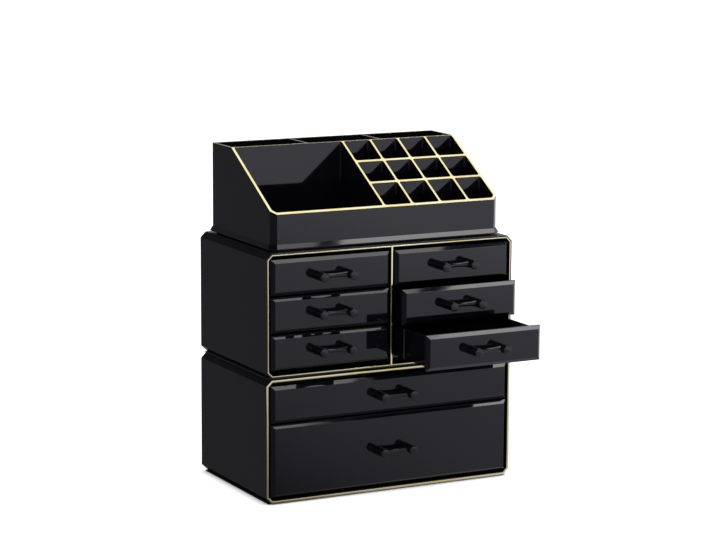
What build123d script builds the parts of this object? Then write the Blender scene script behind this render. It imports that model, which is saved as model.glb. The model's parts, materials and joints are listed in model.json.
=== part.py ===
"""Stacking makeup organizer: a tiered tray on two drawer cases, eight drawers in all.

Millimetres, +Z up. The origin is the centre of the flat base; the drawers open towards -Y.
"""
from build123d import *
from functools import lru_cache
from math import sqrt
import os

# Case units: a front outline with cut corners, carried back along Y
unit_width = 240.0
unit_depth = 137.0
unit_height = 107.8
case_wall = 2.6
corner_cut = 5.0
rear_bevel = 1.0
divider_wall = 2.2

# Low step under each unit, on which it stands
step_height = 1.2
step_inset = 3.0

# Gold foil on the front rims
foil = 0.15
bottom_band = 1.7
bottom_band_inset = 0.2
middle_band = 0.9
middle_band_inset = 1.3
divider_band = 1.6

# Drawer fronts
rows = 3
row_gap = 1.5
wide_row_gap = 1.0
top_gap = 2.9
bottom_gap = 3.75
wide_bottom_gap = 2.1
panel_side_gap = 1.4
shallow_panel_height = 32.6
bevel_width = 3.15
bevel_depth = 3.0
panel_side = 2.0
panel_skin = 2.0
panel_rim = 1.6
panel_proud = 2.4

# Drawer boxes behind the fronts
box_inset = 3.75
box_sill = 2.4
box_drop = 2.2
box_wall = 1.8
box_floor = 1.8
box_corner = 2.0
box_inner_corner = 1.2
back_clearance = 0.3

# Runner ledges: a shelf with a raised guide along the wall
shelf_overlap = 3.3
shelf_thickness = 1.6
guide_height = 3.0
guide_clearance = 0.5
ledge_setback = 1.0

# How far the two photographed drawers stand open
middle_drawer_open = 14.0
bottom_drawer_open = 57.0

# H-shaped handles: two waisted round posts and a crossbar
handle_spacing = 28.0
handle_reach = 15.0
post_foot_radius = 4.0
post_waist_radius = 3.0
post_head_radius = 4.0
post_foot_length = 1.6
post_head_length = 3.0
bar_radius = 2.3

# Screws through the front into the posts
screw_radius = 1.4
screw_clearance = 0.1
thread_clearance = 0.05
bore_spare = 0.5
screw_bite = 7.0
screw_head_radius = 2.8
screw_head_height = 1.6

# Tray, and how far behind and to the right of the middle of the case it stands
tray_width = 221.4
tray_depth = 123.1
tray_setback = 4.4
tray_shift = 1.7
tray_height = 79.0
tray_front_height = 30.9
tray_wall = 2.2
tray_floor = 2.2
tray_cut = 4.5
tray_rear_cut = 1.0
tray_divider = 1.9
tray_corner = 2.0
tray_step_height = 0.8
skirt_out = 2.4
skirt_height = 4.6
skirt_lip = 0.6
rear_row_depth = 38.0
tier_depth = 25.6
main_divider_x = -2.4
slots_per_tier = 4
rear_bays = 3

# Heights and planes that follow from the sizes above
unit_pitch = unit_height + step_height
inner_height = unit_height - 2 * case_wall
row_room = inner_height - top_gap - bottom_gap - (rows - 1) * row_gap
panel_height = row_room / rows
deep_panel_height = inner_height - top_gap - shallow_panel_height - wide_row_gap - wide_bottom_gap
front_y = -unit_depth / 2
rear_y = unit_depth / 2
inner_half = unit_width / 2 - case_wall
divider_half = divider_wall / 2
full_bay = (-inner_half, inner_half)
left_bay = (-inner_half, -divider_half)
right_bay = (divider_half, inner_half)
panel_depth = panel_side + bevel_depth
panel_back_y = front_y - panel_proud + panel_depth
tray_base = 2 * unit_pitch
tray_front_y = tray_setback - tray_depth / 2
tray_rear_y = tray_setback + tray_depth / 2


def front_plane(y):
    """Plane at depth y that faces the front: its x runs along X and its y runs up."""
    return Plane(origin=(0, y, 0), x_dir=(1, 0, 0), z_dir=(0, -1, 0))


def case_outline(base, inset, y):
    """Front outline of a case, drawn in from its outside by inset, with square-cut corners."""
    cut = corner_cut - inset * (2 - sqrt(2))
    outline = Rectangle(unit_width - 2 * inset, unit_height - 2 * inset)
    outline = chamfer(outline.vertices(), cut)
    return front_plane(y) * Pos(0, base + unit_height / 2) * outline


def case_block(base, inset, y_back):
    """Case outline drawn in by inset and carried back from the front rim to y_back."""
    return extrude(case_outline(base, inset, y_back), y_back - front_y)


def base_step(base):
    """Low step under a case, drawn in from its sides."""
    size_x = unit_width - 2 * step_inset
    size_y = unit_depth - 2 * step_inset
    return Pos(0, 0, base - step_height / 2) * Box(size_x, size_y, step_height)


def ledge(wall_x, side, panel_bottom):
    """Runner on one wall: a shelf under the box and a guide beside it. side points into the bay."""
    running_z = panel_bottom + box_sill
    low_z = running_z - shelf_thickness
    box_x = panel_side_gap + box_inset
    guide_x = wall_x + side * (box_x - guide_clearance)
    shelf_x = wall_x + side * (box_x + shelf_overlap)
    guide_z = running_z + guide_height
    section = Polygon(
        (wall_x, low_z),
        (shelf_x, low_z),
        (shelf_x, running_z),
        (guide_x, running_z),
        (guide_x, guide_z),
        (wall_x, guide_z),
        align=None,
    )
    y_back = rear_y - case_wall
    y_front = panel_back_y + ledge_setback
    return extrude(front_plane(y_back) * section, y_back - y_front, dir=(0, -1, 0))


def case_unit(base, bays, panel_bottoms):
    """One moulded case: shell, back wall, step, dividers between the bays and their ledges."""
    block = case_block(base, 0, rear_y)
    back = block.faces().sort_by(Axis.Y)[-1]
    block = chamfer(back.edges(), rear_bevel)
    case = block - case_block(base, case_wall, rear_y - case_wall) + base_step(base)
    length = unit_depth - case_wall
    for bay in bays[1:]:
        place = Pos(bay[0] - divider_half, front_y + length / 2, base + unit_height / 2)
        case += place * Box(divider_wall, length, inner_height)
    for bay in bays:
        for bottom in panel_bottoms:
            case += ledge(bay[0], 1, bottom)
            case += ledge(bay[1], -1, bottom)
    return case


def rim_band(base, inset, width, divided):
    """Gold foil ring on a front rim, with a strip down the divider where there is one."""
    ring = case_outline(base, inset, front_y) - case_outline(base, inset + width, front_y)
    if divided:
        strip_height = unit_height - 2 * inset - width
        strip = Rectangle(divider_band, strip_height)
        ring += front_plane(front_y) * Pos(0, base + unit_height / 2) * strip
    return extrude(ring, foil)


def bay_centre(bay):
    return (bay[0] + bay[1]) / 2


def panel_solid(width, height, inset):
    """Drawer front drawn in by inset: a straight side, then a bevel up to the flat face."""
    back = (Align.CENTER, Align.MAX, Align.CENTER)
    block = Box(width - 2 * inset, panel_depth, height - 2 * inset, align=back)
    block = Pos(0, panel_back_y, 0) * block
    face = block.faces().sort_by(Axis.Y)[0]
    return chamfer(face.edges(), bevel_width - inset / 2, bevel_depth, reference=face)


def drawer_box(width, height):
    """Open box behind a front, centred on X, its front wall being the back of the front."""
    box_width = width - 2 * box_inset
    box_height = height - box_sill - box_drop
    face_back_y = front_y - panel_proud + panel_skin
    back_y = rear_y - case_wall - back_clearance
    length = back_y - face_back_y
    centre_z = box_sill + box_height / 2
    outer = Pos(0, face_back_y + length / 2, centre_z) * Box(box_width, length, box_height)
    rear_corners = outer.edges().filter_by(Axis.Z).group_by(Axis.Y)[-1]
    outer = fillet(rear_corners, box_corner)
    inner_length = length - box_wall
    room = Box(box_width - 2 * box_wall, inner_length, box_height)
    room = fillet(room.edges().filter_by(Axis.Z), box_inner_corner)
    return outer - Pos(0, face_back_y + inner_length / 2, centre_z + box_floor) * room


@lru_cache
def drawer(width, height):
    """Drawer moulding, centred on X, with the bottom edge of its front at z = 0."""
    front = Pos(0, 0, height / 2) * panel_solid(width, height, 0)
    pocket = panel_solid(width, height, panel_rim)
    pocket = Pos(0, panel_skin, height / 2) * pocket
    body = front - pocket + drawer_box(width, height)
    for x in post_places():
        hole = Cylinder(screw_radius + screw_clearance, 4 * panel_skin)
        body -= Pos(x, front_y - panel_proud, height / 2) * Rot(90, 0, 0) * hole
    return body


def post_places():
    return (-handle_spacing / 2, handle_spacing / 2)


@lru_cache
def handle():
    """H-shaped handle on the face of a front, centred on X at z = 0."""
    low = (Align.CENTER, Align.CENTER, Align.MIN)
    head_z = handle_reach - post_head_length
    post = Cylinder(post_waist_radius, handle_reach, align=low)
    post += Cylinder(post_foot_radius, post_foot_length, align=low)
    post += Pos(0, 0, head_z) * Cylinder(post_head_radius, post_head_length, align=low)
    bore = Cylinder(screw_radius + thread_clearance, screw_bite + bore_spare, align=low)
    grip = Pos(0, 0, handle_reach / 2) * Rot(0, 90, 0) * Cylinder(bar_radius, handle_spacing)
    for x in post_places():
        grip += Pos(x, 0, 0) * post
    for x in post_places():
        grip -= Pos(x, 0, 0) * bore
    return Pos(0, front_y - panel_proud, 0) * Rot(90, 0, 0) * grip


@lru_cache
def screw_pair():
    """Two screws from inside the box, through the front and into the posts."""
    shank_length = panel_skin + screw_bite
    low = (Align.CENTER, Align.CENTER, Align.MIN)
    head = Cylinder(screw_head_radius, screw_head_height, align=low)
    shank = Pos(0, 0, -shank_length) * Cylinder(screw_radius, shank_length, align=low)
    screw = Rot(-90, 0, 0) * (head + shank)
    seat_y = front_y - panel_proud + panel_skin
    return [Pos(x, seat_y, 0) * screw for x in post_places()]


def tray_outline(grow):
    """Plan of the tray, grown outwards by grow, with its corners cut, more so at the front."""
    outline = Rectangle(tray_width + 2 * grow, tray_depth + 2 * grow)
    for cut, end in ((tray_cut, 0), (tray_rear_cut, -1)):
        grown_cut = cut + grow * (2 - sqrt(2))
        if grown_cut > 0:
            outline = chamfer(outline.vertices().group_by(Axis.Y)[end], grown_cut)
    return Pos(0, tray_setback) * outline


def rear_row_y():
    """Middle plane of the wall in front of the rear row."""
    return tray_rear_y - tray_wall - rear_row_depth


def tray_crest():
    """Side view of the upper edge: a slope up from the front face, then level to the back."""
    return [
        (tray_front_y, tray_front_height),
        (rear_row_y() - tray_divider / 2, tray_height),
        (tray_rear_y, tray_height),
    ]


def side_prism(points):
    """Side view (y, z above the tray base) carried across the whole tray."""
    face = make_face(Polyline([(0, y, tray_base + z) for y, z in points], close=True))
    half = tray_width / 2
    return extrude(face, half, dir=(1, 0, 0)) + extrude(face, half, dir=(-1, 0, 0))


def tray_plates():
    """Divider plates (centre x, centre y, size x, size y), as tall as the cavity."""
    left = -tray_width / 2 + tray_wall
    right = tray_width / 2 - tray_wall
    front = tray_front_y + tray_wall
    row_y = rear_row_y()
    rear = tray_rear_y - tray_wall
    plates = [(0, row_y, right - left, tray_divider)]
    plates.append((main_divider_x, (front + row_y) / 2, tray_divider, row_y - front))
    for tier in (1, 2):
        plates.append(((main_divider_x + right) / 2, row_y - tier * (tier_depth + tray_divider / 2),
                       right - main_divider_x, tray_divider))
    slot_pitch = (right - main_divider_x) / slots_per_tier
    for slot in range(1, slots_per_tier):
        plates.append((main_divider_x + slot * slot_pitch, (front + row_y) / 2,
                       tray_divider, row_y - front))
    bay_pitch = (right - left) / rear_bays
    for bay in range(1, rear_bays):
        plates.append((left + bay * bay_pitch, (row_y + rear) / 2, tray_divider, rear - row_y))
    return plates


def tray_cavity():
    """All compartments as one group of solids, with rounded upright corners."""
    floor_z = tray_base + tray_step_height + tray_floor
    height = tray_height
    cavity = extrude(Pos(0, 0, floor_z) * tray_outline(-tray_wall), height)
    for x, y, size_x, size_y in tray_plates():
        cavity -= Pos(x, y, floor_z + height / 2) * Box(size_x, size_y, height)
    return fillet(cavity.edges().filter_by(Axis.Z), tray_corner)


def tray_shell(cavity):
    """Tray moulding: block under the crest line, less its compartments, with a flared skirt."""
    skirt_base = tray_base + tray_step_height
    crest = tray_crest()
    block = side_prism([(crest[0][0], tray_step_height)] + crest + [(crest[-1][0], tray_step_height)])
    prism = extrude(Pos(0, 0, tray_base) * tray_outline(0), 2 * tray_height)
    block = block & prism
    skirt = extrude(Pos(0, 0, skirt_base) * tray_outline(skirt_out), skirt_height)
    rim = skirt.faces().sort_by(Axis.Z)[-1]
    skirt = chamfer(rim.edges(), skirt_out, skirt_height - skirt_lip, reference=rim)
    step = extrude(Pos(0, 0, tray_base) * tray_outline(-step_inset), tray_step_height)
    return block + skirt + step - cavity


def tray_edging(cavity):
    """Gold foil on every upper edge of the tray, following the slope."""
    crest = tray_crest()
    lifted = [(y, z + foil) for y, z in crest]
    sheet = side_prism(crest + lifted[::-1])
    prism = extrude(Pos(0, 0, tray_base) * tray_outline(0), 2 * tray_height)
    return sheet & (prism - cavity)


def drawer_set():
    """Name, bay, bottom of the front, its height and how far it stands open, for each drawer."""
    bottom_base = step_height
    middle_base = unit_pitch + step_height
    column_names = (("left", left_bay), ("right", right_bay))
    row_names = ("top", "middle", "bottom")
    opened = {("right", "middle"): middle_drawer_open, ("right", "bottom"): bottom_drawer_open}
    found = []
    for column, bay in column_names:
        for row, bottom in zip(row_names, middle_rows(middle_base)):
            shift = opened.get((column, row), 0)
            found.append((f"{column}_{row}", bay, bottom, panel_height, shift))
    shallow, deep = bottom_rows(bottom_base)
    found.append(("shallow", full_bay, shallow, shallow_panel_height, 0))
    found.append(("deep", full_bay, deep, deep_panel_height, 0))
    return found


def middle_rows(base):
    """Bottom edges of the fronts in the middle case, from the top row down."""
    top = base + unit_height - case_wall - top_gap
    return [top - panel_height - row * (panel_height + row_gap) for row in range(rows)]


def bottom_rows(base):
    """Bottom edges of the shallow and the deep front in the bottom case."""
    shallow = base + unit_height - case_wall - top_gap - shallow_panel_height
    return [shallow, shallow - wide_row_gap - deep_panel_height]


def all_nodes():
    """Every separate piece of the organizer by name."""
    bottom_base = step_height
    middle_base = unit_pitch + step_height
    nodes = {
        "bottom_case": case_unit(bottom_base, [full_bay], bottom_rows(bottom_base)),
        "bottom_case_edging": rim_band(bottom_base, bottom_band_inset, bottom_band, False),
        "middle_case": case_unit(middle_base, [left_bay, right_bay], middle_rows(middle_base)),
        "middle_case_edging": rim_band(middle_base, middle_band_inset, middle_band, True),
    }
    for name, bay, bottom, height, shift in drawer_set():
        width = bay[1] - bay[0] - 2 * panel_side_gap
        place = Pos(bay_centre(bay), -shift, bottom)
        middle = place * Pos(0, 0, height / 2)
        nodes[f"drawer_{name}"] = place * drawer(width, height)
        nodes[f"handle_{name}"] = middle * handle()
        nodes[f"screws_{name}"] = Compound([middle * screw for screw in screw_pair()])
    cavity = tray_cavity()
    tray_place = Pos(tray_shift, 0, 0)
    nodes["tray"] = tray_place * tray_shell(cavity)
    nodes["tray_edging"] = tray_place * tray_edging(cavity)
    return nodes


os.makedirs("parts", exist_ok=True)
for node_name, node_shape in all_nodes().items():
    export_step(node_shape, f"parts/{node_name}.step")
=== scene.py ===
"""Finish of a stacking makeup organizer, built around the fixed solids of its cases, drawers and tray.

Metres, +Z up, the drawers open towards -Y. The properties hold the sizes and colours that a user
would change, and the values above them what is fixed: the form of a screw, the steps of a surface and
the studio. Every other place is worked out from them and from the boxes of the solids.
"""

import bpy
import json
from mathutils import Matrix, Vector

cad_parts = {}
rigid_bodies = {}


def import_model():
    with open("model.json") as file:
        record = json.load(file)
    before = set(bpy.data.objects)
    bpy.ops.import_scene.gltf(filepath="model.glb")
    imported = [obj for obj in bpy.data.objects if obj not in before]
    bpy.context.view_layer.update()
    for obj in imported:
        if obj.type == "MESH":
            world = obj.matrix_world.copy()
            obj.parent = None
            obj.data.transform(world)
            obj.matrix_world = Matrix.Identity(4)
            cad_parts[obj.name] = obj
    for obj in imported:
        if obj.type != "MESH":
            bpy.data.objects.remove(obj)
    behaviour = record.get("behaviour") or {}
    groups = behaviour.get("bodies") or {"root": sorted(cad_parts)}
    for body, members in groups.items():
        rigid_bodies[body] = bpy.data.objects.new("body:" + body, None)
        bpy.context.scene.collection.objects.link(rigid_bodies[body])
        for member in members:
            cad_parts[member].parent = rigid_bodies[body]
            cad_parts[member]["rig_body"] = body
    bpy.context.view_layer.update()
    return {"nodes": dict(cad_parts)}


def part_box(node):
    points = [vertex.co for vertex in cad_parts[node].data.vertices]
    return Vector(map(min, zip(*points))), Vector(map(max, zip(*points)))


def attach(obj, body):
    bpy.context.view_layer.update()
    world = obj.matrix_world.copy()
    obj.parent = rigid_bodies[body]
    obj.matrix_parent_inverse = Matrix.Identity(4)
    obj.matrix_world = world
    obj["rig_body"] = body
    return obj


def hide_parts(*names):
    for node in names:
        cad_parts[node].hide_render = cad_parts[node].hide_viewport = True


bl_info = {
    "name": "Makeup Organizer Finish",
    "version": (1, 0, 0),
    "blender": (4, 5, 0),
    "location": "View3D > Sidebar > Organizer",
    "description": "Edges, foil, handles, screws and studio for a makeup organizer",
    "category": "Object",
}

import json
from math import cos, pi, sin

import bmesh
import bpy
import numpy as np
from bpy.props import FloatProperty, FloatVectorProperty, IntProperty, PointerProperty
from mathutils import Matrix, Vector

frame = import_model()

MM = 0.001
CASES = ("bottom_case", "middle_case")
DRAWERS = tuple(sorted(name[len("drawer_"):] for name in frame["nodes"] if name.startswith("drawer_")))

# Points closer than this are one. Faces that meet at less than the flat angle, in radians, become
# one, and edges over the sharp angle are rounded in so many steps.
MERGE_DISTANCE = 0.002 * MM
FLAT_ANGLE = 0.004
SHARP_ANGLE = 0.5
EDGE_STEPS = 2

# Steps along the surfaces: the rounded edges, body and domed cap of a post, the crossbar and the foil.
ARC_STEPS = 7
POST_STEPS = 70
CAP_STEPS = 8
BAR_STEPS = 33
BAND_STEPS = 21

# Handle posts: length over which a disc narrows to the waist, and height of the head's dome.
POST_BLEND = 0.5 * MM
POST_DOME = 0.3 * MM

# Share of the ring's rise to which the foil on the divider rises, so that it ends inside the ring.
STRIP_RISE = 0.9

# Screws: fall of the head's dome to its rim as a share of its height, then the cross recess, given by
# the half width and reach of its arms, the lengths over which they fade, and its depth, and the
# length and end radius of the tip, the radius as a share of the shank's.
HEAD_FALL = 0.45
CROSS_ARM, CROSS_ARM_FADE = 0.25 * MM, 0.15 * MM
CROSS_REACH, CROSS_REACH_FADE = 1.2 * MM, 0.3 * MM
CROSS_DEPTH = 0.9 * MM
TIP_LENGTH = 1.2 * MM
TIP_SHARE = 0.45

# Rings of a screw's head as shares of its radius, closer together out to the end of the recess.
HEAD_RINGS = np.concatenate([np.linspace(0.0, 0.55, 16), np.linspace(0.6, 1.0, 8)])

# Sockets of a Mix node that is set to colours.
COLOUR_A, COLOUR_B, COLOUR_RESULT = 6, 7, 2

# Share by which the black of a plastic varies.
TINT_SPREAD = 0.15

# Camera: width of the picture in pixels and of the sensor in millimetres, and the height that it aims at.
PICTURE_WIDTH = 716
SENSOR_WIDTH = 36.0
AIM_HEIGHT = 0.15

# Lamps: shape, place of the centre and size, left to right and front to back. All hang at one height.
LAMP_HEIGHT = 1.5
LAMPS = {
    "overhead": ("ELLIPSE", (0.43, -0.19), (0.80, 0.80)),
    "side": ("ELLIPSE", (0.90, -0.53), (0.29, 0.28)),
    "front": ("RECTANGLE", (0.9375, -1.09), (0.325, 0.40)),
    "fill": ("RECTANGLE", (0.61, -1.09), (0.25, 0.40)),
    "rear": ("RECTANGLE", (0.625, 0.52), (0.65, 0.56)),
}

# Floor: half its width, the reach of the painted contact shadow that dims its glow near the object, and the
# light that it gives off.
FLOOR_HALF = 12.0
PAINTED_SHADOW_REACH = 8.0 * MM
FLOOR_GLOW = 0.7

# Grey levels that mirrors show: of the floor by its x in metres, and of the room by how far a
# direction points to the bright end of the studio. The room dims to the faded level as the
# direction rises from the one height to the other.
FLOOR_LEVELS = ((-0.12, 0.105), (0.0, 0.34), (0.1, 0.48), (0.3, 0.60), (0.5, 0.76), (0.75, 1.0))
ROOM_LEVELS = ((-1.0, 0.10), (-0.43, 0.31), (0.2, 0.5), (0.97, 1.0))
BRIGHT_END = (0.6, -0.8)
FADE_FROM, FADE_TO = 0.15, 0.5
FADED_LEVEL = 0.03

# Blue of a grey level as a share of the level: a base and what it gains where the level is bright.
COOL_BASE, COOL_GAIN = 1.07, 0.06


class OrganizerSizes(bpy.types.PropertyGroup):
    """Small forms that the finish adds to the solids."""

    moulding_edge: FloatProperty(
        name="Moulding edge", description="Rounding of the plastic edges",
        default=0.25 * MM, unit="LENGTH")
    foil_edge: FloatProperty(
        name="Foil edge", description="Rounding of the tray foil's edges",
        default=0.05 * MM, unit="LENGTH")
    corner_cut: FloatProperty(
        name="Corner cut", description="Square cut of a case's corners, seen from the front",
        default=5.0 * MM, unit="LENGTH")
    bottom_band: FloatProperty(
        name="Bottom band", description="Width of the foil on the bottom case",
        default=1.7 * MM, unit="LENGTH")
    middle_band: FloatProperty(
        name="Middle band", description="Width of the foil on the middle case",
        default=0.9 * MM, unit="LENGTH")
    divider_band: FloatProperty(
        name="Divider band", description="Width of the foil on the middle case's divider",
        default=1.6 * MM, unit="LENGTH")
    post_foot: FloatProperty(
        name="Post foot", description="Length of the disc at the foot of a handle post",
        default=1.6 * MM, unit="LENGTH")
    post_head: FloatProperty(
        name="Post head", description="Length of the disc at the head of a handle post",
        default=3.0 * MM, unit="LENGTH")
    post_waist: FloatProperty(
        name="Post waist", description="Radius of a handle post between its discs",
        default=3.9 * MM, unit="LENGTH")
    post_edge: FloatProperty(
        name="Post edge", description="Rounding of the handle posts' edges",
        default=0.8 * MM, unit="LENGTH")
    bar_end: FloatProperty(
        name="Bar end", description="Radius of the crossbar where it meets the posts",
        default=3.3 * MM, unit="LENGTH")
    bar_waist: FloatProperty(
        name="Bar waist", description="Radius of the crossbar at its middle",
        default=1.9 * MM, unit="LENGTH")
    bar_place: FloatProperty(
        name="Bar place", description="Place of the crossbar between a post's foot, 0, and its head, 1",
        default=0.43)
    screw_head: FloatProperty(
        name="Screw head", description="Height of a screw's head",
        default=1.6 * MM, unit="LENGTH")
    screw_shank: FloatProperty(
        name="Screw shank", description="Radius of a screw's shank",
        default=1.4 * MM, unit="LENGTH")
    round_steps: IntProperty(
        name="Round steps", description="Steps around a turned piece", default=48, min=12)


class OrganizerColours(bpy.types.PropertyGroup):
    """Colours of the plastics and metals."""

    plastic: FloatVectorProperty(
        name="Plastic", description="Black of the cases, tray and drawers",
        default=(0.0042, 0.0042, 0.0066), subtype="COLOR")
    handle: FloatVectorProperty(
        name="Handle", description="Black of the handles",
        default=(0.004, 0.004, 0.0045), subtype="COLOR")
    foil: FloatVectorProperty(
        name="Foil", description="Main colour of the gold foil",
        default=(1.0, 0.91, 0.52), subtype="COLOR")
    foil_deep: FloatVectorProperty(
        name="Deep foil", description="Deeper runs in the gold foil",
        default=(0.97, 0.82, 0.38), subtype="COLOR")
    steel: FloatVectorProperty(
        name="Steel", description="Zinc plate of the screws",
        default=(0.60, 0.60, 0.62), subtype="COLOR")


class OrganizerStage(bpy.types.PropertyGroup):
    """Camera, lamps and floor."""

    focal_pixels: FloatProperty(
        name="Focal length", description="Focal length in pixels of a 716 pixel wide picture",
        default=2552.0)
    yaw: FloatProperty(
        name="Yaw", description="Turn of the view to the right of straight on",
        default=0.47962, subtype="ANGLE")
    pitch: FloatProperty(
        name="Pitch", description="Tilt of the view below level",
        default=0.17099, subtype="ANGLE")
    roll: FloatProperty(
        name="Roll", description="Turn of the picture about the line of view",
        default=0.00504, subtype="ANGLE")
    aim: FloatVectorProperty(
        name="Aim", description="Where the point at the aim's height stands in the view: right, up, away",
        default=(-0.002479, -0.034415, 2.269343), subtype="XYZ", unit="LENGTH")
    overhead: FloatProperty(
        name="Overhead lamp", description="Radiance of the round softbox above the organizer",
        default=2.6)
    side: FloatProperty(
        name="Side lamp", description="Radiance of the softbox high on the right",
        default=5.0)
    front: FloatProperty(
        name="Front lamp", description="Radiance of the softbox in front on the right",
        default=5.3)
    fill: FloatProperty(
        name="Fill lamp", description="Radiance of the softbox in front",
        default=2.1)
    rear: FloatProperty(
        name="Rear lamp", description="Radiance of the softbox behind, which the sloped foil mirrors",
        default=1.05)
    room: FloatProperty(
        name="Room", description="Plain light of the room on matt surfaces",
        default=0.65)
    floor_white: FloatVectorProperty(
        name="Floor", description="Colour of the pale floor",
        default=(0.82, 0.82, 0.82), subtype="COLOR")


def piece_mesh(name, grids):
    """Mesh from grids of points, each an array of rows by columns by 3.

    Neighbouring points of a grid become quads. Points that meet, such as poles and seams, are
    merged and the faces turned outwards. The UV map holds each grid's column and row as shares.
    """
    corners, quads, spans = [], [], []
    count = 0
    for grid in grids:
        rows, columns = grid.shape[:2]
        index = count + np.arange(rows * columns).reshape(rows, columns)
        quad = np.stack([index[:-1, :-1], index[1:, :-1], index[1:, 1:], index[:-1, 1:]], -1)
        row, column = np.meshgrid(
            np.linspace(0, 1, rows), np.linspace(0, 1, columns), indexing="ij")
        corners.append(grid.reshape(-1, 3))
        quads.append(quad.reshape(-1, 4))
        spans.append(np.stack([column, row], -1).reshape(-1, 2))
        count += rows * columns
    quads = np.concatenate(quads)
    mesh = bpy.data.meshes.new(name)
    mesh.from_pydata(np.concatenate(corners), [], quads.tolist())
    mesh.uv_layers.new(name="Along")
    mesh.uv_layers["Along"].data.foreach_set("uv", np.concatenate(spans)[quads].ravel())
    shell = bmesh.new()
    shell.from_mesh(mesh)
    bmesh.ops.remove_doubles(shell, verts=shell.verts, dist=MERGE_DISTANCE)
    bmesh.ops.recalc_face_normals(shell, faces=shell.faces)
    shell.to_mesh(mesh)
    shell.free()
    return mesh


def place_piece(name, mesh, material, node):
    """Object of a mesh that stands for a solid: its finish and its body."""
    mesh.materials.append(material)
    mesh.shade_smooth()
    piece = bpy.data.objects.new(name, mesh)
    bpy.context.scene.collection.objects.link(piece)
    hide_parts(node)
    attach(piece, frame["nodes"][node]["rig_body"])
    return piece


def merged_mesh(node, name):
    """Copy of a solid's mesh with its loose triangles merged and its flat faces made whole.

    The normals stored with the loose triangles don't fit the merged faces, so they are dropped.
    """
    shell = bmesh.new()
    shell.from_mesh(frame["nodes"][node].data)
    bmesh.ops.remove_doubles(shell, verts=shell.verts, dist=MERGE_DISTANCE)
    bmesh.ops.dissolve_limit(
        shell, angle_limit=FLAT_ANGLE, verts=shell.verts, edges=shell.edges)
    mesh = bpy.data.meshes.new(name)
    shell.to_mesh(mesh)
    shell.free()
    if "custom_normal" in mesh.attributes:
        mesh.attributes.remove(mesh.attributes["custom_normal"])
    return mesh


def round_edges(piece, width, measure="OFFSET"):
    """Rounds the sharp edges of a piece and keeps its flat faces flat in reflections.

    The measure is the bevel's own: OFFSET from each edge, or ABSOLUTE along the edges that meet it,
    which keeps a corner inside its piece where a crease and two edges of a slope come together.
    """
    bevel = piece.modifiers.new("Rounded edges", "BEVEL")
    bevel.offset_type = measure
    bevel.width = width
    bevel.segments = EDGE_STEPS
    bevel.limit_method = "ANGLE"
    bevel.angle_limit = SHARP_ANGLE
    bevel.miter_outer = "MITER_SHARP"
    bevel.use_clamp_overlap = False
    bevel.face_strength_mode = "FSTR_ALL"
    flat = piece.modifiers.new("Flat faces", "WEIGHTED_NORMAL")
    flat.use_face_influence = True


def add(tree, kind, inputs=None, **settings):
    """New node of a tree, with its settings and its inputs given as values or sockets."""
    made = tree.nodes.new(kind)
    for key, value in settings.items():
        setattr(made, key, value)
    for socket, value in (inputs or {}).items():
        if isinstance(value, bpy.types.NodeSocket):
            tree.links.new(value, made.inputs[socket])
        else:
            made.inputs[socket].default_value = value
    return made


def mixed(tree, share, first, second):
    """Colour socket that runs from the first colour to the second as a share goes from 0 to 1."""
    mix = add(tree, "ShaderNodeMix", {"Factor": share, COLOUR_A: first, COLOUR_B: second}, data_type="RGBA")
    return mix.outputs[COLOUR_RESULT]


def scaled(colour, share):
    """Opaque colour with its three parts multiplied by a share."""
    return (*(share * value for value in colour), 1.0)


def new_group(name, inputs, outputs):
    """Shader node group with float inputs at their defaults, and its input and output nodes."""
    tree = bpy.data.node_groups.new(name, "ShaderNodeTree")
    coordinates = tree.interface.new_socket(
        "Coordinates", in_out="INPUT", socket_type="NodeSocketVector")
    coordinates.hide_value = True
    for label, value in inputs.items():
        socket = tree.interface.new_socket(label, in_out="INPUT", socket_type="NodeSocketFloat")
        socket.default_value = value
    for label in outputs:
        tree.interface.new_socket(label, in_out="OUTPUT", socket_type="NodeSocketFloat")
    return tree, add(tree, "NodeGroupInput"), add(tree, "NodeGroupOutput")


def handled_gloss():
    """Group: roughness of a polished face that has been touched, in soft uneven patches."""
    name = "Handled gloss"
    if name in bpy.data.node_groups:
        return bpy.data.node_groups[name]
    tree, given, out = new_group(
        name, {"Polish": 0.05, "Smudges": 0.08, "Patch size": 0.05}, ["Roughness"])
    scale = add(tree, "ShaderNodeMath", {
        0: 1.0, 1: given.outputs["Patch size"]}, operation="DIVIDE")
    patches = add(tree, "ShaderNodeTexNoise", {
        "Vector": given.outputs["Coordinates"], "Scale": scale.outputs[0], "Detail": 3.0})
    touched = add(tree, "ShaderNodeMapRange", {
        "Value": patches.outputs[0], "From Min": 0.48, "From Max": 0.78},
        interpolation_type="SMOOTHSTEP")
    fine = add(tree, "ShaderNodeTexNoise", {
        "Vector": given.outputs["Coordinates"], "Scale": 900.0, "Detail": 2.0})
    grain = add(tree, "ShaderNodeMapRange", {
        "Value": fine.outputs[0], "From Min": 0.2, "From Max": 0.8, "To Min": 0.6, "To Max": 1.4})
    smudge = add(tree, "ShaderNodeMath", {
        0: touched.outputs[0], 1: given.outputs["Smudges"]}, operation="MULTIPLY")
    polish = add(tree, "ShaderNodeMath", {
        0: grain.outputs[0], 1: given.outputs["Polish"]}, operation="MULTIPLY")
    total = add(tree, "ShaderNodeMath", {
        0: smudge.outputs[0], 1: polish.outputs[0]}, operation="ADD")
    tree.links.new(total.outputs[0], out.inputs["Roughness"])
    return tree


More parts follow.
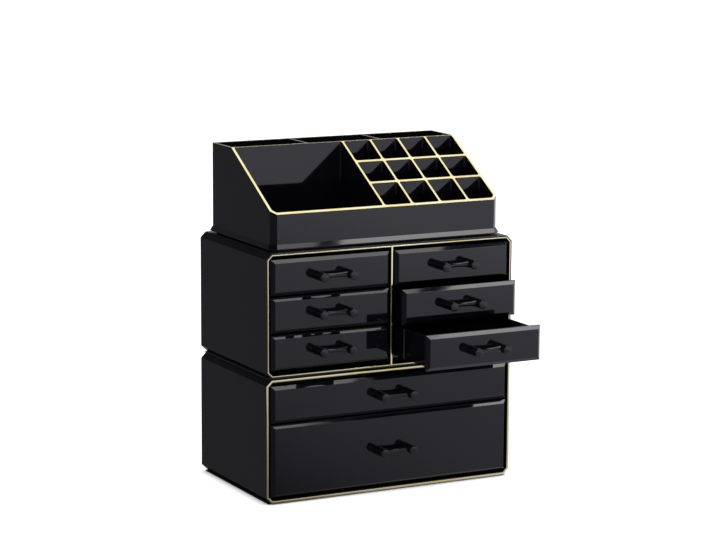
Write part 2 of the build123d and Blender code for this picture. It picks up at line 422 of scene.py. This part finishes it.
def moulded_skin():
    """Group: height of a moulded skin in metres, long flow waves under a fine orange peel."""
    name = "Moulded skin"
    if name in bpy.data.node_groups:
        return bpy.data.node_groups[name]
    tree, given, out = new_group(
        name, {"Wave height": 0.01 * MM, "Peel height": 0.0004 * MM}, ["Height"])
    waves = add(tree, "ShaderNodeTexNoise", {
        "Vector": given.outputs["Coordinates"], "Scale": 16.0, "Detail": 0.0})
    peel = add(tree, "ShaderNodeTexNoise", {
        "Vector": given.outputs["Coordinates"], "Scale": 420.0, "Detail": 1.0})
    long_part = add(tree, "ShaderNodeMath", {
        0: waves.outputs[0], 1: given.outputs["Wave height"]}, operation="MULTIPLY")
    short_part = add(tree, "ShaderNodeMath", {
        0: peel.outputs[0], 1: given.outputs["Peel height"]}, operation="MULTIPLY")
    total = add(tree, "ShaderNodeMath", {
        0: long_part.outputs[0], 1: short_part.outputs[0]}, operation="ADD")
    tree.links.new(total.outputs[0], out.inputs["Height"])
    return tree


def new_material(name):
    """Material with an empty tree: the tree, its Principled shader and its object coordinates."""
    material = bpy.data.materials.new(name)
    material.use_nodes = True
    tree = material.node_tree
    tree.nodes.clear()
    shader = add(tree, "ShaderNodeBsdfPrincipled")
    out = add(tree, "ShaderNodeOutputMaterial")
    tree.links.new(shader.outputs[0], out.inputs["Surface"])
    place = add(tree, "ShaderNodeTexCoord")
    return material, tree, shader, place.outputs["Object"]


def plastic(name, colour, polish, smudges, wave):
    """High-gloss moulded plastic: black with handling smudges, flow waves and orange peel."""
    if name in bpy.data.materials:
        return bpy.data.materials[name]
    material, tree, shader, place = new_material(name)
    gloss = add(tree, "ShaderNodeGroup", {
        "Coordinates": place, "Polish": polish, "Smudges": smudges}, node_tree=handled_gloss())
    skin = add(tree, "ShaderNodeGroup", {
        "Coordinates": place, "Wave height": wave}, node_tree=moulded_skin())
    bump = add(tree, "ShaderNodeBump", {"Height": skin.outputs["Height"], "Distance": 1.0})
    tint = add(tree, "ShaderNodeTexNoise", {"Vector": place, "Scale": 30.0, "Detail": 2.0})
    shade = mixed(
        tree, tint.outputs[0], scaled(colour, 1 - TINT_SPREAD), scaled(colour, 1 + TINT_SPREAD))
    tree.links.new(shade, shader.inputs["Base Color"])
    tree.links.new(gloss.outputs["Roughness"], shader.inputs["Roughness"])
    tree.links.new(bump.outputs[0], shader.inputs["Normal"])
    shader.inputs["IOR"].default_value = 1.5
    return material


def gold_foil(colours):
    """Hot-stamped foil: bright gold in paler and deeper runs, with pinholes down to the plastic."""
    name = "stamped_gold"
    if name in bpy.data.materials:
        return bpy.data.materials[name]
    material, tree, shader, place = new_material(name)
    runs = add(tree, "ShaderNodeTexNoise", {"Vector": place, "Scale": 38.0, "Detail": 3.0})
    deep = add(tree, "ShaderNodeMapRange", {
        "Value": runs.outputs[0], "From Min": 0.42, "From Max": 0.62},
        interpolation_type="SMOOTHSTEP")
    tone = mixed(tree, deep.outputs[0], scaled(colours.foil, 1), scaled(colours.foil_deep, 1))
    specks = add(tree, "ShaderNodeTexNoise", {"Vector": place, "Scale": 2600.0, "Detail": 2.0})
    whole = add(tree, "ShaderNodeMapRange", {
        "Value": specks.outputs[0], "From Min": 0.72, "From Max": 0.76, "To Min": 1.0, "To Max": 0.0})
    colour = mixed(tree, whole.outputs[0], scaled(colours.plastic, 1), tone)
    gloss = add(tree, "ShaderNodeGroup", {
        "Coordinates": place, "Polish": 0.10, "Smudges": 0.08, "Patch size": 0.012},
        node_tree=handled_gloss())
    skin = add(tree, "ShaderNodeGroup", {
        "Coordinates": place, "Wave height": 0.02 * MM, "Peel height": 0.004 * MM},
        node_tree=moulded_skin())
    bump = add(tree, "ShaderNodeBump", {"Height": skin.outputs["Height"], "Distance": 1.0})
    tree.links.new(colour, shader.inputs["Base Color"])
    tree.links.new(whole.outputs[0], shader.inputs["Metallic"])
    tree.links.new(gloss.outputs["Roughness"], shader.inputs["Roughness"])
    tree.links.new(bump.outputs[0], shader.inputs["Normal"])
    return material


def screw_steel(colours):
    """Zinc-plated steel: fine mottled grey with a dull sheen."""
    name = "zinc_plate"
    if name in bpy.data.materials:
        return bpy.data.materials[name]
    material, tree, shader, place = new_material(name)
    mottle = add(tree, "ShaderNodeTexNoise", {"Vector": place, "Scale": 1500.0, "Detail": 2.0})
    tone = mixed(tree, mottle.outputs[0], scaled(colours.steel, 0.75), scaled(colours.steel, 1))
    gloss = add(tree, "ShaderNodeGroup", {
        "Coordinates": place, "Polish": 0.3, "Smudges": 0.1, "Patch size": 0.003},
        node_tree=handled_gloss())
    tree.links.new(tone, shader.inputs["Base Color"])
    tree.links.new(gloss.outputs["Roughness"], shader.inputs["Roughness"])
    shader.inputs["Metallic"].default_value = 1.0
    return material


def black_plastic(context):
    """Plastic of the cases, tray and drawers."""
    colour = context.scene.organizer_colours.plastic
    return plastic("moulded_black", colour, polish=0.045, smudges=0.06, wave=0.01 * MM)


def smooth_step(share):
    """3t² - 2t³ of a share held between 0 and 1."""
    share = np.clip(share, 0.0, 1.0)
    return share * share * (3.0 - 2.0 * share)


def turned(radius, along, start, axis, steps):
    """Profile of radii at distances along an axis, turned about it: a grid of angles by profile."""
    axis = np.array(axis, float)
    side = np.array((0.0, 0.0, 1.0))
    across = np.cross(axis, side)
    angle = np.linspace(0.0, 2.0 * np.pi, steps + 1)[:, None, None]
    reach = radius[None, :, None]
    ring = reach * (np.cos(angle) * side + np.sin(angle) * across)
    return np.array(start, float) + ring + along[None, :, None] * axis


def post_profile(sizes, rim, reach):
    """Radii and distances of a handle post, from the middle of its foot to the middle of its head.

    The radius is the waist's, widened to the rim at both discs by smooth steps. The outer edges of
    the discs are quarter circles, and the head's face is domed by a parabola. The body is drawn
    together by the dome's height, so that the top of the dome stands at the reach.
    """
    edge = sizes.post_edge
    turn = np.linspace(0.0, np.pi / 2, ARC_STEPS)
    along = np.linspace(edge, reach - edge, POST_STEPS)
    swell = 1 - smooth_step((along - sizes.post_foot) / POST_BLEND)
    swell += smooth_step((along - (reach - sizes.post_head) + POST_BLEND) / POST_BLEND)
    body = sizes.post_waist + (rim - sizes.post_waist) * swell
    foot_radius = rim - edge + edge * np.sin(turn)
    foot_along = edge - edge * np.cos(turn)
    head_radius = foot_radius[::-1]
    head_along = reach - foot_along[::-1] - POST_DOME
    cap = np.linspace(rim - edge, 0.0, CAP_STEPS)
    cap_along = reach - POST_DOME * (cap / (rim - edge)) ** 2
    body_along = along - POST_DOME * (along / reach)
    radius = np.concatenate([[0.0], foot_radius, body[1:-1], head_radius, cap[1:]])
    distance = np.concatenate([[0.0], foot_along, body_along[1:-1], head_along, cap_along[1:]])
    return radius, distance


def handle_grids(sizes, low, high):
    """Grids of a handle: two turned posts and a crossbar drawn in to its middle by a parabola."""
    rim = (high[2] - low[2]) / 2
    reach = high[1] - low[1]
    middle = (low[2] + high[2]) / 2
    radius, along = post_profile(sizes, rim, reach)
    left, right = low[0] + rim, high[0] - rim
    grids = [turned(radius, along, (x, high[1], middle), (0, -1, 0), sizes.round_steps)
             for x in (left, right)]
    span = right - left
    share = np.linspace(-1.0, 1.0, BAR_STEPS)
    girth = sizes.bar_waist + (sizes.bar_end - sizes.bar_waist) * share ** 2
    girth = np.concatenate([[0.0], girth, [0.0]])
    length = np.concatenate([[0.0], span * (share + 1) / 2, [span]])
    bar_y = high[1] - sizes.bar_place * reach
    grids.append(turned(girth, length, (left, bar_y, middle), (1, 0, 0), sizes.round_steps))
    return grids


def screw_grids(sizes, low, high):
    """Grids of two screws: a shank, and a domed head with a cross recess.

    The head's height over its seat is head * (1 - fall * share²) at each share of its radius, less
    the recess depth where the point lies within the cross, faded by a smooth step.
    """
    rim = (high[2] - low[2]) / 2
    middle = (low[2] + high[2]) / 2
    seat = high[1] - sizes.screw_head
    steps = sizes.round_steps
    share = HEAD_RINGS
    angle = np.linspace(0.0, 2.0 * np.pi, steps + 1)
    across = rim * share[None, :] * np.cos(angle)[:, None]
    upright = rim * share[None, :] * np.sin(angle)[:, None]
    height = np.broadcast_to(sizes.screw_head * (1 - HEAD_FALL * share[None, :] ** 2), across.shape)
    arm = np.minimum(np.abs(across), np.abs(upright))
    reach = np.maximum(np.abs(across), np.abs(upright))
    inside = 1 - smooth_step((arm - CROSS_ARM) / CROSS_ARM_FADE)
    inside = inside * (1 - smooth_step((reach - CROSS_REACH) / CROSS_REACH_FADE))
    height = height - CROSS_DEPTH * inside
    shank = sizes.screw_shank
    tip = seat - low[1]
    radius = np.array([rim, rim, shank, shank, TIP_SHARE * shank, 0.0])
    along = np.array([(HEAD_FALL - 1) * sizes.screw_head, 0.0, 0.0, tip - TIP_LENGTH, tip, tip])
    grids = []
    for x in (low[0] + rim, high[0] - rim):
        grids.append(np.stack([x + across, seat + height, middle + upright], -1))
        grids.append(turned(radius, along, (x, seat, middle), (0, -1, 0), steps))
    return grids


def ring_corners(half_width, half_height, cut):
    """Eight corners of a rectangle about 0, 0 with its corners cut square, in order."""
    return np.array([
        (cut - half_width, -half_height), (half_width - cut, -half_height),
        (half_width, cut - half_height), (half_width, half_height - cut),
        (half_width - cut, half_height), (cut - half_width, half_height),
        (-half_width, half_height - cut), (-half_width, cut - half_height),
    ])


def crown_profile():
    """Shares across a foil band and its height there: 1 - s⁴, then back along its flat underside."""
    across = np.linspace(-1.0, 1.0, BAND_STEPS)
    crown = 1.0 - across ** 4
    return np.concatenate([across, across[-2::-1]]), np.concatenate([crown, 0.0 * crown[-2::-1]])


def rim_grid(sizes, low, high, case_half, width):
    """Grid of a foil ring: the crowned band carried round the octagon of the case's front.

    At each share across the band the octagon is drawn in by that much from the foil's outside,
    and its corner cut shrinks by (2 - √2) of the inset, so the ring keeps its width all round.
    """
    across, crown = crown_profile()
    half_width, half_height = (high[0] - low[0]) / 2, (high[2] - low[2]) / 2
    outer_inset = case_half - half_width
    middle_x, middle_z = (low[0] + high[0]) / 2, (low[2] + high[2]) / 2
    rings = []
    for share, rise in zip(across, crown):
        inset = width * (1 + share) / 2
        cut = sizes.corner_cut - (outer_inset + inset) * (2 - np.sqrt(2))
        ring = ring_corners(half_width - inset, half_height - inset, cut)
        ring = np.concatenate([ring, ring[:1]])
        depth = np.full(len(ring), high[1] - rise * (high[1] - low[1]))
        rings.append(np.stack([middle_x + ring[:, 0], depth, middle_z + ring[:, 1]], -1))
    return np.stack(rings, 1)


def strip_grid(sizes, low, high, ring_width):
    """Grid of the foil on the divider: the crowned band carried up the middle of the case."""
    across, crown = crown_profile()
    middle = (low[0] + high[0]) / 2
    heights = np.array([low[2] + ring_width / 2, high[2] - ring_width / 2])
    x = np.broadcast_to(middle + sizes.divider_band * across / 2, (2, len(across)))
    y = np.broadcast_to(high[1] - STRIP_RISE * crown * (high[1] - low[1]), x.shape)
    z = np.broadcast_to(heights[:, None], x.shape)
    return np.stack([x, y, z], -1)


class ORGANIZER_OT_cases(bpy.types.Operator):
    """Build the two drawer cases with rounded moulding edges"""

    bl_idname = "organizer.cases"
    bl_label = "Cases"

    def execute(self, context):
        for node in CASES:
            mesh = merged_mesh(node, node + "_moulding")
            piece = place_piece(node + "_moulding", mesh, black_plastic(context), node)
            round_edges(piece, context.scene.organizer_sizes.moulding_edge)
        return {"FINISHED"}


class ORGANIZER_OT_drawers(bpy.types.Operator):
    """Build the eight drawers with rounded moulding edges"""

    bl_idname = "organizer.drawers"
    bl_label = "Drawers"

    def execute(self, context):
        for name in DRAWERS:
            node = "drawer_" + name
            mesh = merged_mesh(node, node + "_moulding")
            piece = place_piece(node + "_moulding", mesh, black_plastic(context), node)
            round_edges(piece, context.scene.organizer_sizes.moulding_edge)
        return {"FINISHED"}


class ORGANIZER_OT_tray(bpy.types.Operator):
    """Build the tiered tray and the foil on its upper edges"""

    bl_idname = "organizer.tray"
    bl_label = "Tray"

    def execute(self, context):
        sizes = context.scene.organizer_sizes
        mesh = merged_mesh("tray", "tray_moulding")
        piece = place_piece("tray_moulding", mesh, black_plastic(context), "tray")
        round_edges(piece, sizes.moulding_edge, "ABSOLUTE")
        mesh = merged_mesh("tray_edging", "tray_foil")
        foil = gold_foil(context.scene.organizer_colours)
        piece = place_piece("tray_foil", mesh, foil, "tray_edging")
        round_edges(piece, sizes.foil_edge, "ABSOLUTE")
        return {"FINISHED"}


class ORGANIZER_OT_case_foil(bpy.types.Operator):
    """Build the gold foil on the front rims of the cases and on the divider"""

    bl_idname = "organizer.case_foil"
    bl_label = "Case foil"

    def execute(self, context):
        sizes = context.scene.organizer_sizes
        widths = {"bottom_case": sizes.bottom_band, "middle_case": sizes.middle_band}
        foil = gold_foil(context.scene.organizer_colours)
        for case, width in widths.items():
            case_low, case_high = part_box(case)
            low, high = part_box(case + "_edging")
            grids = [rim_grid(sizes, low, high, (case_high[0] - case_low[0]) / 2, width)]
            if case == "middle_case":
                grids.append(strip_grid(sizes, low, high, width))
            mesh = piece_mesh(case + "_foil", grids)
            piece = place_piece(case + "_foil", mesh, foil, case + "_edging")
            piece.data.set_sharp_from_angle(angle=SHARP_ANGLE)
        return {"FINISHED"}


class ORGANIZER_OT_handles(bpy.types.Operator):
    """Build the eight H-shaped handles"""

    bl_idname = "organizer.handles"
    bl_label = "Handles"

    def execute(self, context):
        sizes = context.scene.organizer_sizes
        colour = context.scene.organizer_colours.handle
        material = plastic("polished_black", colour, polish=0.05, smudges=0.05, wave=0.002 * MM)
        for name in DRAWERS:
            node = "handle_" + name
            mesh = piece_mesh(node + "_turned", handle_grids(sizes, *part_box(node)))
            place_piece(node + "_turned", mesh, material, node)
        return {"FINISHED"}


class ORGANIZER_OT_screws(bpy.types.Operator):
    """Build the screws that hold the handles"""

    bl_idname = "organizer.screws"
    bl_label = "Screws"

    def execute(self, context):
        sizes = context.scene.organizer_sizes
        material = screw_steel(context.scene.organizer_colours)
        for name in DRAWERS:
            node = "screws_" + name
            mesh = piece_mesh(node + "_turned", screw_grids(sizes, *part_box(node)))
            place_piece(node + "_turned", mesh, material, node)
        return {"FINISHED"}


def camera_matrix(stage):
    """Place and turn of the camera from its yaw, pitch and roll and the aim of the view."""
    yaw, pitch, roll = stage.yaw, stage.pitch, stage.roll
    forward = Vector((sin(yaw) * cos(pitch), cos(yaw) * cos(pitch), -sin(pitch)))
    level_right = Vector((cos(yaw), -sin(yaw), 0.0))
    level_up = level_right.cross(forward)
    right = cos(roll) * level_right + sin(roll) * level_up
    up = cos(roll) * level_up - sin(roll) * level_right
    aim = Vector((0.0, 0.0, AIM_HEIGHT))
    place = aim - (stage.aim[0] * right + stage.aim[1] * up + stage.aim[2] * forward)
    turn = Matrix((right, up, -forward)).transposed().to_4x4()
    return Matrix.Translation(place) @ turn


def tone_ramp(tree, value, stops):
    """Grey levels at stops of a value between -1 and 1, cooler where bright, as a colour socket."""
    share = add(tree, "ShaderNodeMapRange", {"Value": value, "From Min": -1.0, "From Max": 1.0})
    ramp = add(tree, "ShaderNodeValToRGB", {0: share.outputs[0]})
    elements = ramp.color_ramp.elements
    while len(elements) < len(stops):
        elements.new(0.5)
    for element, (place, level) in zip(elements, stops):
        element.position = (place + 1.0) / 2.0
        element.color = (level, level, level * (COOL_BASE + COOL_GAIN * level), 1.0)
    return ramp.outputs[0]


def floor_material(stage):
    """Pale floor: white to the camera but for its shadow, partly real from its diffuse part and partly a
    painted contact shadow that dims its glow near the object, and fading off to the left in reflections.
    """
    material = bpy.data.materials.new("floor")
    material.use_nodes = True
    material.cycles.emission_sampling = "NONE"
    tree = material.node_tree
    tree.nodes.clear()
    place = add(tree, "ShaderNodeTexCoord")
    split = add(tree, "ShaderNodeSeparateXYZ", {0: place.outputs["Object"]})
    lit = add(tree, "ShaderNodeBsdfDiffuse", {"Color": (*stage.floor_white, 1.0)})
    # Painted shadow: ambient occlusion darkens the colour of the floor's glow close to the object.
    painted_contact_shadow = add(tree, "ShaderNodeAmbientOcclusion", {"Distance": PAINTED_SHADOW_REACH}, samples=16)
    white = add(tree, "ShaderNodeEmission", {
        "Color": painted_contact_shadow.outputs["Color"], "Strength": FLOOR_GLOW})
    shadowed = add(tree, "ShaderNodeBsdfDiffuse", {"Color": (1.0, 1.0, 1.0, 1.0)})
    shown = add(tree, "ShaderNodeAddShader", {0: white.outputs[0], 1: shadowed.outputs[0]})
    levels = tone_ramp(tree, split.outputs[0], FLOOR_LEVELS)
    mirrored = add(tree, "ShaderNodeEmission", {"Color": levels, "Strength": 1.0})
    path = add(tree, "ShaderNodeLightPath")
    sharp = add(tree, "ShaderNodeMath", {
        0: path.outputs["Is Glossy Ray"], 1: path.outputs["Is Transmission Ray"]}, operation="MAXIMUM")
    unseen = add(tree, "ShaderNodeMixShader", {
        0: sharp.outputs[0], 1: lit.outputs[0], 2: mirrored.outputs[0]})
    mix = add(tree, "ShaderNodeMixShader", {
        0: path.outputs["Is Camera Ray"], 1: unseen.outputs[0], 2: shown.outputs[0]})
    add(tree, "ShaderNodeOutputMaterial", {"Surface": mix.outputs[0]})
    return material


def build_floor(stage):
    """Flat floor at the base of the organizer, which runs past the top of the picture."""
    side = np.array([-FLOOR_HALF, FLOOR_HALF])
    x, y = np.meshgrid(side, side, indexing="ij")
    mesh = piece_mesh("floor", [np.stack([x, y, np.zeros_like(x)], -1)])
    if mesh.polygons[0].normal.z < 0:
        mesh.flip_normals()
    mesh.materials.append(floor_material(stage))
    floor = bpy.data.objects.new("floor", mesh)
    bpy.context.scene.collection.objects.link(floor)


def build_world(stage):
    """Studio: white to the camera, plain to matt surfaces, and in reflections a room lit at the front."""
    world = bpy.data.worlds.new("studio")
    bpy.context.scene.world = world
    world.use_nodes = True
    tree = world.node_tree
    tree.nodes.clear()
    place = add(tree, "ShaderNodeTexCoord")
    split = add(tree, "ShaderNodeSeparateXYZ", {0: place.outputs["Generated"]})
    right = add(tree, "ShaderNodeMath", {
        0: split.outputs[0], 1: BRIGHT_END[0]}, operation="MULTIPLY")
    forward = add(tree, "ShaderNodeMath", {
        0: split.outputs[1], 1: BRIGHT_END[1], 2: right.outputs[0]}, operation="MULTIPLY_ADD")
    low = add(tree, "ShaderNodeMapRange", {
        "Value": split.outputs[2], "From Min": FADE_FROM, "From Max": FADE_TO,
        "To Min": 1.0, "To Max": FADED_LEVEL}, interpolation_type="SMOOTHSTEP")
    levels = tone_ramp(tree, forward.outputs[0], ROOM_LEVELS)
    mirrored = add(tree, "ShaderNodeBackground", {"Color": levels, "Strength": low.outputs[0]})
    room = add(tree, "ShaderNodeBackground", {
        "Color": (0.98, 0.98, 1.0, 1.0), "Strength": stage.room})
    white = add(tree, "ShaderNodeBackground", {"Color": (1.0, 1.0, 1.0, 1.0), "Strength": 1.0})
    path = add(tree, "ShaderNodeLightPath")
    sharp = add(tree, "ShaderNodeMath", {
        0: path.outputs["Is Glossy Ray"], 1: path.outputs["Is Transmission Ray"]}, operation="MAXIMUM")
    unseen = add(tree, "ShaderNodeMixShader", {
        0: sharp.outputs[0], 1: room.outputs[0], 2: mirrored.outputs[0]})
    mix = add(tree, "ShaderNodeMixShader", {
        0: path.outputs["Is Camera Ray"], 1: unseen.outputs[0], 2: white.outputs[0]})
    add(tree, "ShaderNodeOutputWorld", {"Surface": mix.outputs[0]})


def build_softbox(name, radiance):
    """Flat lamp of a given radiance that hangs level and faces down."""
    shape, place, (width, depth) = LAMPS[name]
    lamp = bpy.data.lights.new(name, "AREA")
    lamp.shape = shape
    lamp.size = width
    lamp.size_y = depth
    area = width * depth * (pi / 4 if shape == "ELLIPSE" else 1.0)
    lamp.energy = radiance * pi * area
    lamp_object = bpy.data.objects.new(name, lamp)
    bpy.context.scene.collection.objects.link(lamp_object)
    lamp_object.location = (*place, LAMP_HEIGHT)
    lamp_object.visible_camera = False


class ORGANIZER_OT_stage(bpy.types.Operator):
    """Build the camera, the pale floor and the soft studio light"""

    bl_idname = "organizer.stage"
    bl_label = "Stage"

    def execute(self, context):
        stage = context.scene.organizer_stage
        camera = bpy.data.cameras.new("camera")
        camera.sensor_width = SENSOR_WIDTH
        camera.lens = stage.focal_pixels * SENSOR_WIDTH / PICTURE_WIDTH
        camera_object = bpy.data.objects.new("camera", camera)
        context.scene.collection.objects.link(camera_object)
        camera_object.matrix_world = camera_matrix(stage)
        context.scene.camera = camera_object
        context.scene.view_settings.view_transform = "Standard"
        build_floor(stage)
        build_world(stage)
        for name in LAMPS:
            build_softbox(name, getattr(stage, name))
        return {"FINISHED"}


class ORGANIZER_PT_panel(bpy.types.Panel):
    """Sizes, colours and steps of the organizer"""

    bl_label = "Organizer"
    bl_space_type = "VIEW_3D"
    bl_region_type = "UI"
    bl_category = "Organizer"

    def draw(self, context):
        layout = self.layout
        for group in (context.scene.organizer_sizes, context.scene.organizer_colours,
                      context.scene.organizer_stage):
            for label in group.__annotations__:
                layout.prop(group, label)
        for operator in OPERATORS:
            layout.operator(operator.bl_idname)


GROUPS = (OrganizerSizes, OrganizerColours, OrganizerStage)
OPERATORS = (
    ORGANIZER_OT_cases,
    ORGANIZER_OT_drawers,
    ORGANIZER_OT_tray,
    ORGANIZER_OT_case_foil,
    ORGANIZER_OT_handles,
    ORGANIZER_OT_screws,
    ORGANIZER_OT_stage,
)


def register():
    for made in GROUPS + OPERATORS + (ORGANIZER_PT_panel,):
        bpy.utils.register_class(made)
    bpy.types.Scene.organizer_sizes = PointerProperty(type=OrganizerSizes)
    bpy.types.Scene.organizer_colours = PointerProperty(type=OrganizerColours)
    bpy.types.Scene.organizer_stage = PointerProperty(type=OrganizerStage)


def unregister():
    del bpy.types.Scene.organizer_sizes
    del bpy.types.Scene.organizer_colours
    del bpy.types.Scene.organizer_stage
    for made in reversed(GROUPS + OPERATORS + (ORGANIZER_PT_panel,)):
        bpy.utils.unregister_class(made)


def main():
    """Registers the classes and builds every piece."""
    register()
    bpy.ops.organizer.cases()
    bpy.ops.organizer.drawers()
    bpy.ops.organizer.tray()
    bpy.ops.organizer.case_foil()
    bpy.ops.organizer.handles()
    bpy.ops.organizer.screws()
    bpy.ops.organizer.stage()


if __name__ == "__main__":
    main()
